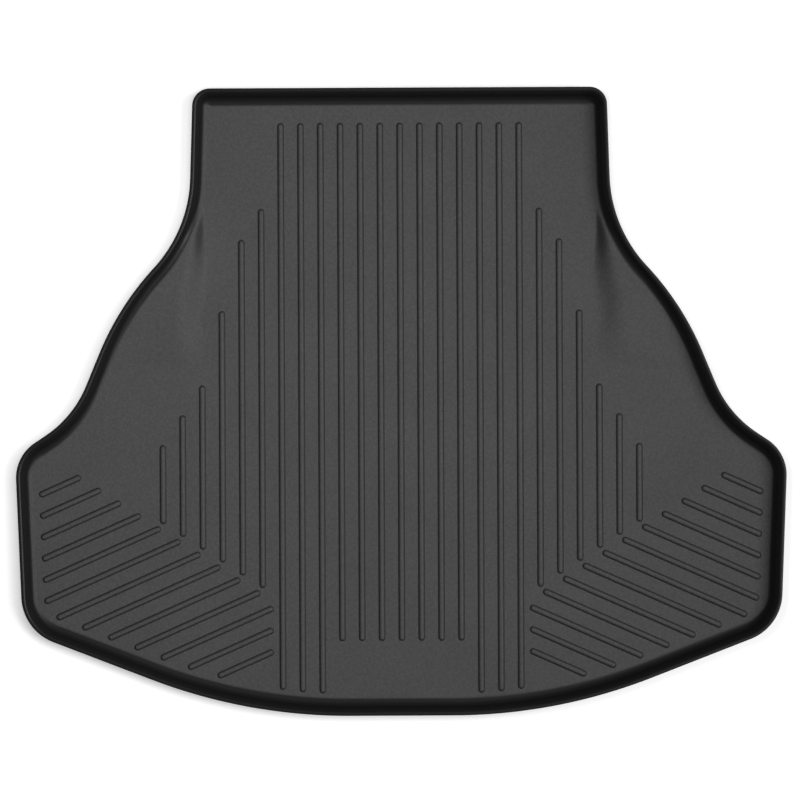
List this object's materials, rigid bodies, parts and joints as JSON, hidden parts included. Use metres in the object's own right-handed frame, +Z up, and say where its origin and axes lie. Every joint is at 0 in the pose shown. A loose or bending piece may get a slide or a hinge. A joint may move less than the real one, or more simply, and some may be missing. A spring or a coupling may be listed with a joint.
{
  "type": "car boot liner",
  "caption": "Formed sheet liner for a saloon's boot: ribbed floor, turned-up wall with a small lip, narrow neck between the wheel arches and wide rear wings.",
  "frame": {"origin": "on the ground, in the middle of the liner's plan", "axes": "+X across the car, +Y towards the seat backs, +Z up, out of the load side"},
  "size_m": [1.3894, 1.132, 0.038],
  "materials": {
    "sheet": "fine haircell grain, satin"
  },
  "bodies": {
    "root": {"liner": "sheet"}
  },
  "joints": []
}
